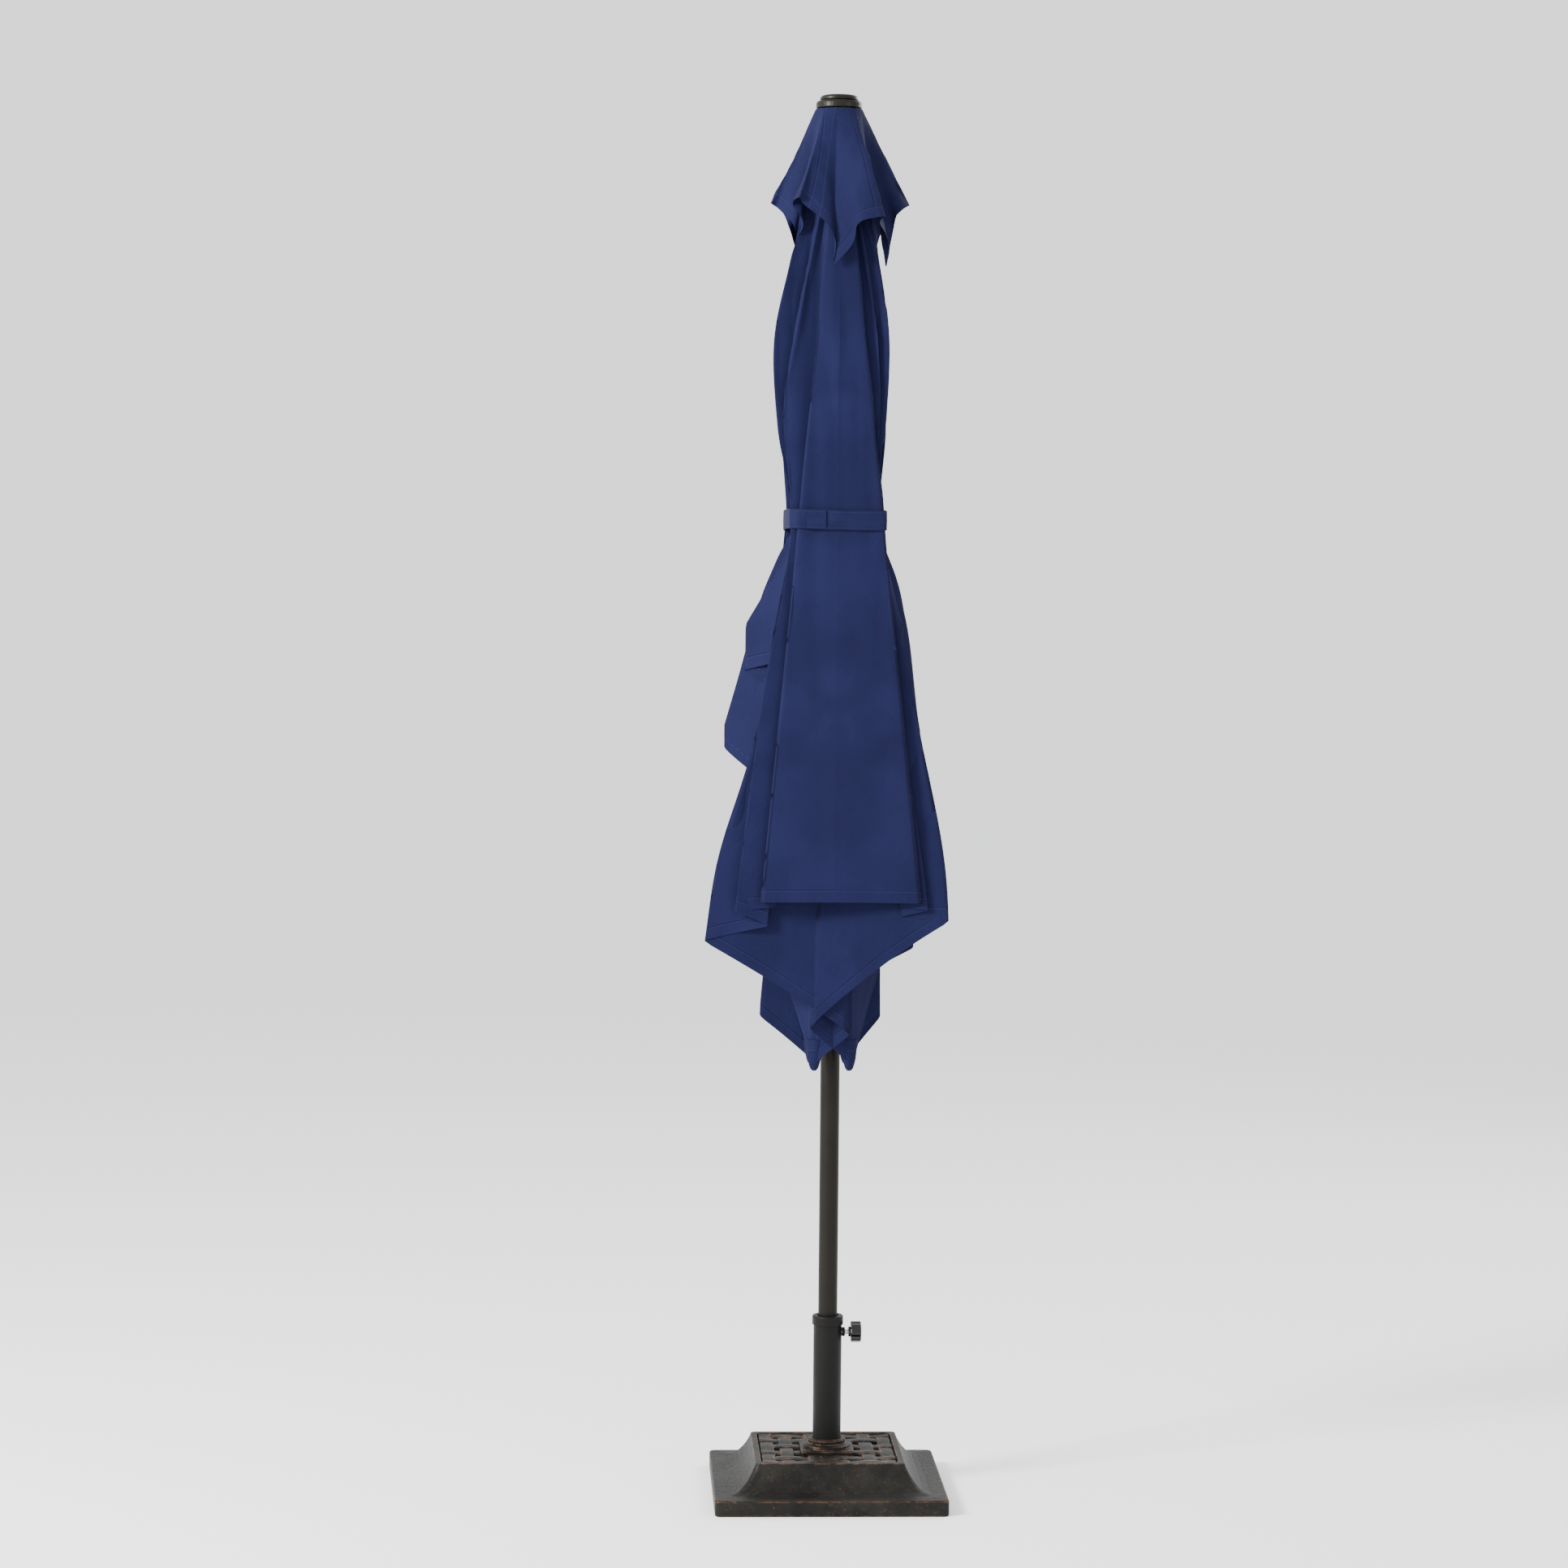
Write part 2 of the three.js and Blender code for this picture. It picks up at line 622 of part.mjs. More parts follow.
fabric('vent_cap', ventCap());
for (const [side, x] of [['left', 1], ['right', -1]]) {
  fabric(`cloth_front_${side}`, mirrored(shortSidePanel(), x, 1));
  fabric(`cloth_back_${side}`, mirrored(shortSidePanel(), x, -1));
  fabric(`cloth_flap_outer_${side}`, mirrored(flapOuter(), x, 1));
  fabric(`cloth_flap_inner_${side}`, mirrored(flapInner(), x, 1));
  fabric(`cloth_pleat_outer_${side}`, mirrored(sidePleatOuter(), x, 1));
  fabric(`cloth_pleat_inner_${side}`, mirrored(sidePleatInner(), x, 1));
}
fabric('tie_strap', strapLoop());

export default group;
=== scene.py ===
import json
import math

import bpy
import numpy as np
from mathutils import Matrix, Vector, noise


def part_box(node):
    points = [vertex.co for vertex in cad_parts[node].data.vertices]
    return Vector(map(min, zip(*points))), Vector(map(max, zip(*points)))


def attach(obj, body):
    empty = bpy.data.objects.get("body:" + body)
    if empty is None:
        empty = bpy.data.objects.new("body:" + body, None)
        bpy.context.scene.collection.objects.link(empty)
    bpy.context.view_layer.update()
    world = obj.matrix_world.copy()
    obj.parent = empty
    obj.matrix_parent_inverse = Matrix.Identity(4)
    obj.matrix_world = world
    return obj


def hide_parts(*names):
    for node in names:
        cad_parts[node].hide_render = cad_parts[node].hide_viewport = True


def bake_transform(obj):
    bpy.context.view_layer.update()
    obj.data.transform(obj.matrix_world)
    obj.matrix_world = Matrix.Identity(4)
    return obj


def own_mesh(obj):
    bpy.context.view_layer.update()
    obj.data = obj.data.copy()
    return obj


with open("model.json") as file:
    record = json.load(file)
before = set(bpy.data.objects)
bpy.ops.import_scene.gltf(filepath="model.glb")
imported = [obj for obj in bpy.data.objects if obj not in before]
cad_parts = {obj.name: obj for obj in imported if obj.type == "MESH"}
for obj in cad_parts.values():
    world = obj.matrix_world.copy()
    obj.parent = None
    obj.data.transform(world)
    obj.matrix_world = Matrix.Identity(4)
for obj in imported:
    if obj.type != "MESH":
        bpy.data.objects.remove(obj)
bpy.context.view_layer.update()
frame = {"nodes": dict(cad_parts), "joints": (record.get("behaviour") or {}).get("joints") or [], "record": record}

RECORD = frame["record"]
JOINTS = {joint["name"]: joint for joint in frame["joints"]}
RATIO = {row["joint"]: row["ratio"] for row in RECORD["behaviour"]["couplings"]}
TRAVEL = JOINTS["canopy_open"]["range_m"][1]

# ---------------------------------------------------------------- camera

CAMERA_BACK = 7.0
CAMERA_HEIGHT = 1.63
CAMERA_AZIMUTH = math.radians(-3.2)
AIM_HEIGHT = 1.2537
AIM_YAW = math.radians(0.70)
CAMERA_ROLL = math.radians(0.545)
CAMERA_LENS = 91.6
SENSOR_WIDTH = 36.0
CAMERA_CLIP_END = 60


def make_camera():
    camera = bpy.data.objects.new("camera", bpy.data.cameras.new("camera"))
    bpy.context.scene.collection.objects.link(camera)
    place = Vector((math.sin(CAMERA_AZIMUTH), -math.cos(CAMERA_AZIMUTH), 0)) * CAMERA_BACK
    camera.location = place + Vector((0, 0, CAMERA_HEIGHT))
    aim = (Vector((0, 0, AIM_HEIGHT)) - camera.location).to_track_quat("-Z", "Y").to_matrix()
    turn_left = Matrix.Rotation(AIM_YAW, 3, "Y")
    lean = Matrix.Rotation(CAMERA_ROLL, 3, "Z")
    camera.rotation_euler = (aim @ turn_left @ lean).to_euler()
    camera.data.sensor_width = SENSOR_WIDTH
    camera.data.lens = CAMERA_LENS
    camera.data.clip_end = CAMERA_CLIP_END
    bpy.context.scene.camera = camera


make_camera()

# ---------------------------------------------------------------- stage and light

FLOOR_HALF = 9.0
FLOOR_PAINT = (0.93, 0.93, 0.93, 1)
FLOOR_ROUGHNESS = 0.8
SKY = (0.98, 0.985, 1.0, 1)
SKY_STRENGTH = 1.6


def make_stage():
    mesh = bpy.data.meshes.new("floor")
    half = FLOOR_HALF
    corners = [(-half, -half, 0), (half, -half, 0), (half, half, 0), (-half, half, 0)]
    mesh.from_pydata(corners, [], [(0, 1, 2, 3)])
    floor = bpy.data.objects.new("floor", mesh)
    bpy.context.scene.collection.objects.link(floor)
    material = bpy.data.materials.new("floor_paint")
    material.use_nodes = True
    shader = material.node_tree.nodes["Principled BSDF"]
    shader.inputs["Base Color"].default_value = FLOOR_PAINT
    shader.inputs["Roughness"].default_value = FLOOR_ROUGHNESS
    mesh.materials.append(material)

    world = bpy.data.worlds.new("studio")
    world.use_nodes = True
    background = world.node_tree.nodes["Background"]
    background.inputs["Color"].default_value = SKY
    background.inputs["Strength"].default_value = SKY_STRENGTH
    bpy.context.scene.world = world


def area_light(name, place, target, size, power):
    """A square light of a size in metres and a power in watts, turned towards a point."""
    light = bpy.data.objects.new(name, bpy.data.lights.new(name, "AREA"))
    light.data.size = size
    light.data.energy = power
    light.location = place
    light.rotation_euler = (Vector(target) - Vector(place)).to_track_quat("-Z", "Y").to_euler()
    bpy.context.scene.collection.objects.link(light)


make_stage()
area_light("key", (-4.2, -2.6, 3.6), (0, 0, 1.3), 1.3, 760)
area_light("fill", (3.8, -3.8, 2.4), (0, 0, 1.2), 2.4, 70)
area_light("rim", (3.0, 3.2, 3.4), (0, 0, 1.5), 1.6, 90)

# ---------------------------------------------------------------- materials

BEVEL_SAMPLES = 6


class Nodes:
    """A node material under construction."""

    def __init__(self, name, **sockets):
        self.material = bpy.data.materials.new(name)
        self.material.use_nodes = True
        self.tree = self.material.node_tree
        self.shader = self.tree.nodes["Principled BSDF"]
        for socket, value in sockets.items():
            self.shader.inputs[socket.replace("_", " ")].default_value = value

    def node(self, kind, inputs=(), **settings):
        node = self.tree.nodes.new(kind)
        for key, value in settings.items():
            setattr(node, key, value)
        for key, value in dict(inputs).items():
            if isinstance(value, bpy.types.NodeSocket):
                self.tree.links.new(value, node.inputs[key])
            else:
                node.inputs[key].default_value = value
        return node

    def place(self):
        return self.node("ShaderNodeTexCoord").outputs["Object"]

    def uv(self, layer):
        return self.node("ShaderNodeUVMap", uv_map=layer).outputs["UV"]

    def part(self, vector, axis):
        return self.node("ShaderNodeSeparateXYZ", {0: vector}).outputs[axis]

    def math(self, operation, a, b=0.0, c=0.0, clamp=False):
        values = {0: a, 1: b, 2: c}
        return self.node("ShaderNodeMath", values, operation=operation, use_clamp=clamp).outputs[0]

    def noise(self, vector, scale, detail=3.0, rough=0.5):
        values = {"Vector": vector, "Scale": scale, "Detail": detail, "Roughness": rough}
        return self.node("ShaderNodeTexNoise", values).outputs["Fac"]

    def voronoi(self, vector, scale, feature="SMOOTH_F1"):
        values = {"Vector": vector, "Scale": scale}
        return self.node("ShaderNodeTexVoronoi", values, feature=feature).outputs["Distance"]

    def range(self, value, low, high, out_low=0.0, out_high=1.0):
        values = {0: value, 1: low, 2: high, 3: out_low, 4: out_high}
        node = self.node("ShaderNodeMapRange", values, interpolation_type="SMOOTHSTEP")
        return node.outputs[0]

    def mix(self, share, first, second):
        node = self.node("ShaderNodeMix", data_type="RGBA")
        self.feed(node.inputs[0], share)
        self.feed(node.inputs[6], first)
        self.feed(node.inputs[7], second)
        return node.outputs[2]

    def feed(self, socket, value):
        if isinstance(value, bpy.types.NodeSocket):
            self.tree.links.new(value, socket)
        else:
            socket.default_value = value

    def edges(self, radius):
        """How far the surface turns within a radius: 0 on flats, 1 on a sharp edge."""
        normals = {0: self.rounded(radius), 1: self.node("ShaderNodeNewGeometry").outputs["Normal"]}
        same = self.node("ShaderNodeVectorMath", normals, operation="DOT_PRODUCT").outputs["Value"]
        return self.math("SUBTRACT", 1.0, same, clamp=True)

    def bump(self, height, distance, strength=1.0, normal=None):
        values = {"Height": height, "Distance": distance, "Strength": strength}
        if normal is not None:
            values["Normal"] = normal
        return self.node("ShaderNodeBump", values).outputs[0]

    def rounded(self, radius):
        """The surface's normal with its edges rounded to a radius."""
        return self.node("ShaderNodeBevel", {"Radius": radius}, samples=BEVEL_SAMPLES).outputs[0]

    def finish(self, color=None, roughness=None, normal=None, metallic=None):
        for socket, value in (
            ("Base Color", color),
            ("Roughness", roughness),
            ("Normal", normal),
            ("Metallic", metallic),
        ):
            if value is not None:
                self.feed(self.shader.inputs[socket], value)
        return self.material


NAVY = (0.0074, 0.0084, 0.036, 1)
NAVY_DEEP = (0.0056, 0.0065, 0.029, 1)
NAVY_PALE = (0.0100, 0.0112, 0.044, 1)
THREAD = (0.0150, 0.0165, 0.058, 1)
# Radians for each metre of cloth: the weave's yarns, the stitches along a row, and the tape's ribs.
YARN_RATE = 5200.0
STITCH_RATE = 1570.0
TAPE_RATE = 3100.0
# Distances in metres from the hem and from the rib's line.
HEM_STITCHES = 0.019
HEM_FOLD = (0.0205, 0.0225)
RIB_STITCHES = 0.009
RIB_FOLD = (0.0105, 0.0125)
STITCH_HALF_WIDTH = 0.0007
# Distance in metres from the tape's middle.
TAPE_STITCHES = 0.0135
TAPE_STITCH_HALF_WIDTH = 0.0006


def fabric(name):
    """Solution-dyed polyester: plain weave, double hem, stitch rows and a felled seam along each rib."""
    n = Nodes(name, Sheen_Weight=0.012, Sheen_Roughness=0.45, Specular_IOR_Level=0.06)
    flat = n.uv("flat")
    trim = n.uv("trim")
    warp = n.math("SINE", n.math("MULTIPLY", n.part(flat, 0), YARN_RATE))
    weft = n.math("SINE", n.math("MULTIPLY", n.part(flat, 1), YARN_RATE))
    weave = n.math("MULTIPLY", warp, weft)
    slub = n.noise(flat, 900.0, 2.0)
    cloud = n.noise(flat, 7.0, 4.0)
    hem_gap = n.part(trim, 0)
    rib_gap = n.part(trim, 1)
    tone = n.mix(n.range(cloud, 0.35, 0.65), NAVY_DEEP, NAVY)
    tone = n.mix(n.math("MULTIPLY", n.range(slub, 0.5, 0.75), 0.45), tone, NAVY_PALE)
    along_hem = n.math("SINE", n.math("MULTIPLY", n.part(flat, 0), STITCH_RATE))
    along_rib = n.math("SINE", n.math("MULTIPLY", n.part(flat, 1), STITCH_RATE))
    hem_row = n.math("COMPARE", hem_gap, HEM_STITCHES, STITCH_HALF_WIDTH)
    rib_row = n.math("COMPARE", rib_gap, RIB_STITCHES, STITCH_HALF_WIDTH)
    stitches = n.math(
        "MAXIMUM",
        n.math("MULTIPLY", hem_row, n.range(along_hem, -0.2, 0.2)),
        n.math("MULTIPLY", rib_row, n.range(along_rib, -0.2, 0.2)),
    )
    tone = n.mix(stitches, tone, THREAD)
    hem_fold = n.range(hem_gap, *HEM_FOLD, 1.0, 0.0)
    rib_fold = n.range(rib_gap, *RIB_FOLD, 1.0, 0.0)
    layers = n.math("MAXIMUM", hem_fold, rib_fold)
    pucker = n.math("MULTIPLY", layers, n.noise(flat, 130.0, 2.0))
    height = n.math("ADD", layers, n.math("MULTIPLY", pucker, 0.8))
    height = n.math("ADD", height, n.math("MULTIPLY", stitches, 0.5))
    crumple = n.bump(n.noise(flat, 26.0, 5.0, 0.55), 0.0030, 0.55)
    seams = n.bump(height, 0.0009, 0.8, crumple)
    threads = n.bump(n.math("ADD", weave, slub), 0.00012, 0.6, seams)
    rough = n.range(slub, 0.2, 0.8, 0.70, 0.86)
    return n.finish(tone, rough, threads)


def webbing(name):
    """Ribbed strap tape with two edge stitch rows."""
    n = Nodes(name, Sheen_Weight=0.012, Specular_IOR_Level=0.06)
    flat = n.uv("flat")
    across = n.part(flat, 1)
    edge = n.math("ABSOLUTE", across)
    row = n.math("COMPARE", edge, TAPE_STITCHES, TAPE_STITCH_HALF_WIDTH)
    dash = n.range(n.math("SINE", n.math("MULTIPLY", n.part(flat, 0), STITCH_RATE)), -0.2, 0.2)
    stitch = n.math("MULTIPLY", row, dash)
    ribs = n.math("SINE", n.math("MULTIPLY", across, TAPE_RATE))
    cloud = n.noise(flat, 40.0, 3.0)
    tone = n.mix(n.range(cloud, 0.3, 0.7), NAVY_DEEP, NAVY)
    tone = n.mix(stitch, tone, THREAD)
    height = n.math("ADD", n.math("MULTIPLY", ribs, 0.4), stitch)
    return n.finish(tone, n.range(cloud, 0.2, 0.8, 0.66, 0.8), n.bump(height, 0.0004, 0.7))


def cast_bronze(name):
    """Cast resin-and-concrete look: hammered black-brown with copper rubbed through on the edges."""
    n = Nodes(name, Specular_IOR_Level=0.14)
    place = n.place()
    hammer = n.voronoi(place, 95.0)
    grain = n.noise(place, 420.0, 4.0, 0.6)
    cloud = n.noise(place, 14.0, 4.0, 0.6)
    dark = n.mix(n.range(cloud, 0.35, 0.68), (0.0032, 0.0030, 0.0025, 1), (0.011, 0.0098, 0.0078, 1))
    flecks = n.math("MULTIPLY", n.range(n.noise(place, 160.0, 3.0, 0.7), 0.58, 0.72), 0.35)
    dark = n.mix(flecks, dark, (0.075, 0.048, 0.030, 1))
    worn = n.range(n.edges(0.005), 0.02, 0.14)
    broken = n.range(n.noise(place, 60.0, 5.0, 0.7), 0.42, 0.62)
    rubbed = n.math("MULTIPLY", worn, broken)
    tone = n.mix(n.math("MULTIPLY", rubbed, 0.70), dark, (0.23, 0.115, 0.060, 1))
    metal = n.range(rubbed, 0.0, 1.0, 0.10, 0.75)
    rough = n.range(grain, 0.3, 0.7, 0.42, 0.62)
    normal = n.bump(hammer, 0.0012, 0.55, n.rounded(0.0025))
    normal = n.bump(grain, 0.0004, 0.5, normal)
    return n.finish(tone, rough, normal, metal)


def powder_coat(name, dark, light, rough_low, rough_high, metal):
    """Powder-coated metal with fine orange peel, a little dust and lighter worn edges."""
    n = Nodes(name, Specular_IOR_Level=0.14)
    place = n.place()
    peel = n.noise(place, 700.0, 3.0)
    cloud = n.noise(place, 9.0, 4.0, 0.6)
    tone = n.mix(n.range(cloud, 0.3, 0.7), dark, light)
    worn = n.math("MULTIPLY", n.range(n.edges(0.002), 0.05, 0.25), n.range(n.noise(place, 90.0), 0.5, 0.7))
    tone = n.mix(n.math("MULTIPLY", worn, 0.6), tone, (0.16, 0.12, 0.09, 1))
    rough = n.range(cloud, 0.3, 0.7, rough_low, rough_high)
    return n.finish(tone, rough, n.bump(peel, 0.00018, 0.5, n.rounded(0.0012)), metal)


def moulded(name, tone_low, tone_high, rough_low, rough_high):
    """Moulded nylon: faint flow marks, fine spark-eroded grain, scuffed edges."""
    n = Nodes(name, Specular_IOR_Level=0.35)
    place = n.place()
    grain = n.noise(place, 1100.0, 2.0)
    cloud = n.noise(place, 30.0, 4.0)
    tone = n.mix(n.range(cloud, 0.3, 0.7), tone_low, tone_high)
    scuff = n.math("MULTIPLY", n.range(n.edges(0.0015), 0.06, 0.3), 0.35)
    tone = n.mix(scuff, tone, (0.09, 0.09, 0.09, 1))
    rough = n.range(cloud, 0.3, 0.7, rough_low, rough_high)
    return n.finish(tone, rough, n.bump(grain, 0.0001, 0.5, n.rounded(0.001)))


def zinc(name):
    """Zinc-plated steel: fine turning lines and cloudy passivation."""
    n = Nodes(name)
    place = n.place()
    lines = n.math("SINE", n.math("MULTIPLY", n.part(place, 0), 5000.0))
    cloud = n.noise(place, 120.0, 4.0)
    tone = n.mix(n.range(cloud, 0.3, 0.7), (0.52, 0.53, 0.55, 1), (0.70, 0.70, 0.69, 1))
    rough = n.range(cloud, 0.3, 0.7, 0.20, 0.34)
    return n.finish(tone, rough, n.bump(lines, 0.0002, 0.4, n.rounded(0.0005)), 1.0)


def rough_concrete(name):
    """Ballast fill: sandy aggregate with pinholes."""
    n = Nodes(name)
    place = n.place()
    grit = n.noise(place, 260.0, 5.0, 0.7)
    holes = n.range(n.voronoi(place, 130.0, "F1"), 0.05, 0.2)
    tone = n.mix(n.range(grit, 0.35, 0.65), (0.22, 0.21, 0.20, 1), (0.42, 0.41, 0.38, 1))
    return n.finish(tone, n.range(grit, 0.3, 0.7, 0.8, 0.95), n.bump(n.math("ADD", grit, holes), 0.001, 0.7))


CLOTH = fabric("canopy_polyester")
TAPE = webbing("strap_tape")
CAST = cast_bronze("antique_casting")
STEM_TONES = (0.0022, 0.0021, 0.0018, 1), (0.0038, 0.0035, 0.0030, 1)
BRONZE_TONES = (0.0042, 0.0034, 0.0024, 1), (0.0078, 0.0063, 0.0044, 1)
FINIAL_TONES = (0.0055, 0.0052, 0.0036, 1), (0.011, 0.0102, 0.0072, 1)
NYLON_TONES = (0.004, 0.004, 0.0045, 1), (0.008, 0.008, 0.0085, 1)
KNOB_TONES = (0.0025, 0.0025, 0.003, 1), (0.005, 0.005, 0.0055, 1)
STEM = powder_coat("stem_coat", *STEM_TONES, 0.42, 0.54, 0.05)
BRONZE = powder_coat("bronze_coat", *BRONZE_TONES, 0.40, 0.52, 0.08)
FINIAL = powder_coat("finial_coat", *FINIAL_TONES, 0.28, 0.40, 0.12)
PLASTIC = moulded("black_nylon", *NYLON_TONES, 0.34, 0.48)
GLOSSY = moulded("knob_phenolic", *KNOB_TONES, 0.16, 0.26)
ZINC = zinc("zinc_steel")
CONCRETE = rough_concrete("ballast_concrete")

SLOT_FINISH = {
    "base_cast": CAST,
    "concrete": CONCRETE,
    "bright_steel": ZINC,
    "black_plastic": PLASTIC,
    "bronze_metal": BRONZE,
    "canopy_fabric": CLOTH,
}
OWN_FINISH = {
    "stem_tube": STEM,
    "stem_collar": STEM,
    "clamp_knob": GLOSSY,
    "finial_base": FINIAL,
    "finial_cap": FINIAL,
    "clamp_nut": STEM,
}


def paint_frame():
    """Gives every CAD node its own material, or else its slot's."""
    for row in RECORD["subparts"]:
        mesh = frame["nodes"][row["node"]].data
        mesh.materials.clear()
        mesh.materials.append(OWN_FINISH.get(row["node"], SLOT_FINISH[row["material_slot"]]))


paint_frame()

# ---------------------------------------------------------------- small tools


def unit(v):
    v = np.asarray(v, float)
    return v / np.linalg.norm(v)


def rotation(axis, angle):
    """The matrix of a turn about an axis through the origin."""
    a = unit(axis)
    k = np.array([[0, -a[2], a[1]], [a[2], 0, -a[0]], [-a[1], a[0], 0]])
    return np.eye(3) + math.sin(angle) * k + (1 - math.cos(angle)) * k @ k


def turned(points, axis, angles):
    """Points turned about an axis through the origin, each by its own angle."""
    a = unit(axis)
    c = np.cos(angles)[..., None]
    s = np.sin(angles)[..., None]
    along = (points @ a)[..., None] * a
    return points * c + np.cross(a, points) * s + along * (1 - c)


def between(first, last, share):
    return first + (last - first) * share


def ease(x):
    """A smooth step from 0 to 1."""
    x = np.clip(x, 0, 1)
    return x * x * (3 - 2 * x)


def curve(x, pairs):
    """Smooth curve through (place, value) pairs, level beyond both ends."""
    xs = np.array([p[0] for p in pairs], float)
    ys = np.array([p[1] for p in pairs], float)
    if len(pairs) == 1:
        return np.full(np.shape(x), ys[0])
    i = np.clip(np.searchsorted(xs, x) - 1, 0, len(xs) - 2)
    h = xs[i + 1] - xs[i]
    f = np.clip((x - xs[i]) / h, 0, 1)
    slopes = np.gradient(ys, xs)
    start = ys[i] * (1 + 2 * f) + slopes[i] * h * f
    end = ys[i + 1] * (3 - 2 * f) - slopes[i + 1] * h * (1 - f)
    return start * (1 - f) ** 2 + end * f**2


def ripple(points, scale, seed):
    """Smooth noise at each point of an array."""
    shift = Vector((seed, 0.37 * seed, 0))
    flat = points.reshape(-1, 3) * scale
    values = np.array([noise.noise(Vector(p) + shift) for p in flat])
    return values.reshape(points.shape[:-1])


def normals_of(points):
    down = np.gradient(points, axis=0)
    over = np.gradient(points, axis=1)
    n = np.cross(over, down)
    return n / np.maximum(np.linalg.norm(n, axis=-1, keepdims=True), 1e-12)


def grid_object(name, points, material, closed=False, **layers):
    """A smooth mesh over a (rows, columns, 3) array, with one texture layer per named array."""
    rows, cols = points.shape[:2]
    index = np.arange(rows * cols).reshape(rows, cols)
    if closed:
        index = np.concatenate([index, index[:, :1]], 1)
    quads = np.stack([index[:-1, :-1], index[:-1, 1:], index[1:, 1:], index[1:, :-1]], -1)
    mesh = bpy.data.meshes.new(name)
    mesh.from_pydata(points.reshape(-1, 3).tolist(), [], quads.reshape(-1, 4).tolist())
    corners = np.zeros(len(mesh.loops), np.int32)
    mesh.loops.foreach_get("vertex_index", corners)
    for layer, values in layers.items():
        uv = mesh.uv_layers.new(name=layer)
        uv.data.foreach_set("uv", values.reshape(-1, 2)[corners].astype(np.float32).ravel())
    mesh.polygons.foreach_set("use_smooth", [True] * len(mesh.polygons))
    mesh.materials.append(material)
    mesh.update()
    obj = bpy.data.objects.new(name, mesh)
    bpy.context.scene.collection.objects.link(obj)
    return obj


# ---------------------------------------------------------------- canopy

SPLAY = math.radians(0.9)
RIB_END = 0.008
LIFT = 0.009
# Distance along the rib, from its pivot, at which the cloth starts.
TOP_S = 0.045
HEM_SCALLOP = 0.040
SAG = 0.012
# Half the angle over which a crease is rounded, in radians at the hub.
CREASE = 0.010
GATHER = 0.0035
PUFF = 0.004
ROWS = 110
COLUMNS_PER_FOLD = 11
WEIGHT_STEPS = 61
LAYERS_FULL_FROM = 0.22
WAVES_FULL_FROM = 0.3
QUIET_EDGE = 0.07
GATHER_ALONG = [(0.1, 1.0), (0.6, 1.0), (0.9, 0.35), (1.6, 0.2)]


class Rib:
    """A rib at rest and raised, and the cloth body that folds beside it."""

    def __init__(self, place, cloth):
        rib = JOINTS["rib_fold_" + place]
        spread = JOINTS["spread_" + cloth]
        self.bodies = (rib["child"], spread["child"])
        self.pivot = np.array(rib["pos_m"])
        self.out = unit([self.pivot[0], self.pivot[1], 0])
        self.swing = rotation(rib["axis"], RATIO[rib["name"]] * TRAVEL)
        self.axis = np.array(spread["axis"])
        self.angle = RATIO[spread["name"]] * TRAVEL
        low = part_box("rib_" + place)[0]
        self.length = (self.pivot[2] - low.z) / math.cos(SPLAY) - RIB_END / 2
        self.closed = self.out * math.sin(SPLAY) - np.array([0, 0, math.cos(SPLAY)])
        self.raised = self.swing @ self.closed
        self.above = self.swing @ self.out

    def folded(self, open_points, weight):
        """Where points of the open canopy lie at rest: weight 0 goes with the rib, 1 with the cloth body."""
        beside = (open_points - self.pivot) @ self.swing
        return turned(beside, self.axis, -weight * self.angle) + self.pivot


def hem_distance(start, direction, rib, other):
    """From a point along a direction to the straight line between two rib tips, all in one plane."""
    tip = rib.pivot + rib.raised * rib.length
    span = other.pivot + other.raised * other.length - tip
    across = np.cross(np.cross(rib.raised, other.raised), span)
    return float(np.dot(tip - start, across) / np.dot(direction, across))


def column_angles(keys, per_fold):
    """Angles of the mesh's columns, closer together beside the creases than between them."""
    angles = [0.0]
    for a, b in zip(keys[:-1], keys[1:]):
        share = np.linspace(0, 1, per_fold + 1)[1:]
        share = 0.55 * share + 0.45 * (0.5 - 0.5 * np.cos(math.pi * share))
        angles.extend(a + (b - a) * share)
    return np.array(angles)


def through(angles, keys, values, soft):
    """Straight runs between the creases, rounded over a short way at each one.
    values has one set of rows for each key."""
    keys = np.array(keys)
    stack = np.array(values)
    steps = np.linspace(-1, 1, 7)
    shares = (1 - steps**2) ** 2 + 0.05
    shares /= shares.sum()
    reach = np.clip(np.minimum(angles - keys[0], keys[-1] - angles), 0, soft)
    total = 0
    for step, part in zip(steps, shares):
        x = angles + step * reach
        i = np.clip(np.searchsorted(keys, x) - 1, 0, len(keys) - 2)
        f = (x - keys[i]) / (keys[i + 1] - keys[i])
        total = total + part * (stack[i].T * (1 - f) + stack[i + 1].T * f)
    return total


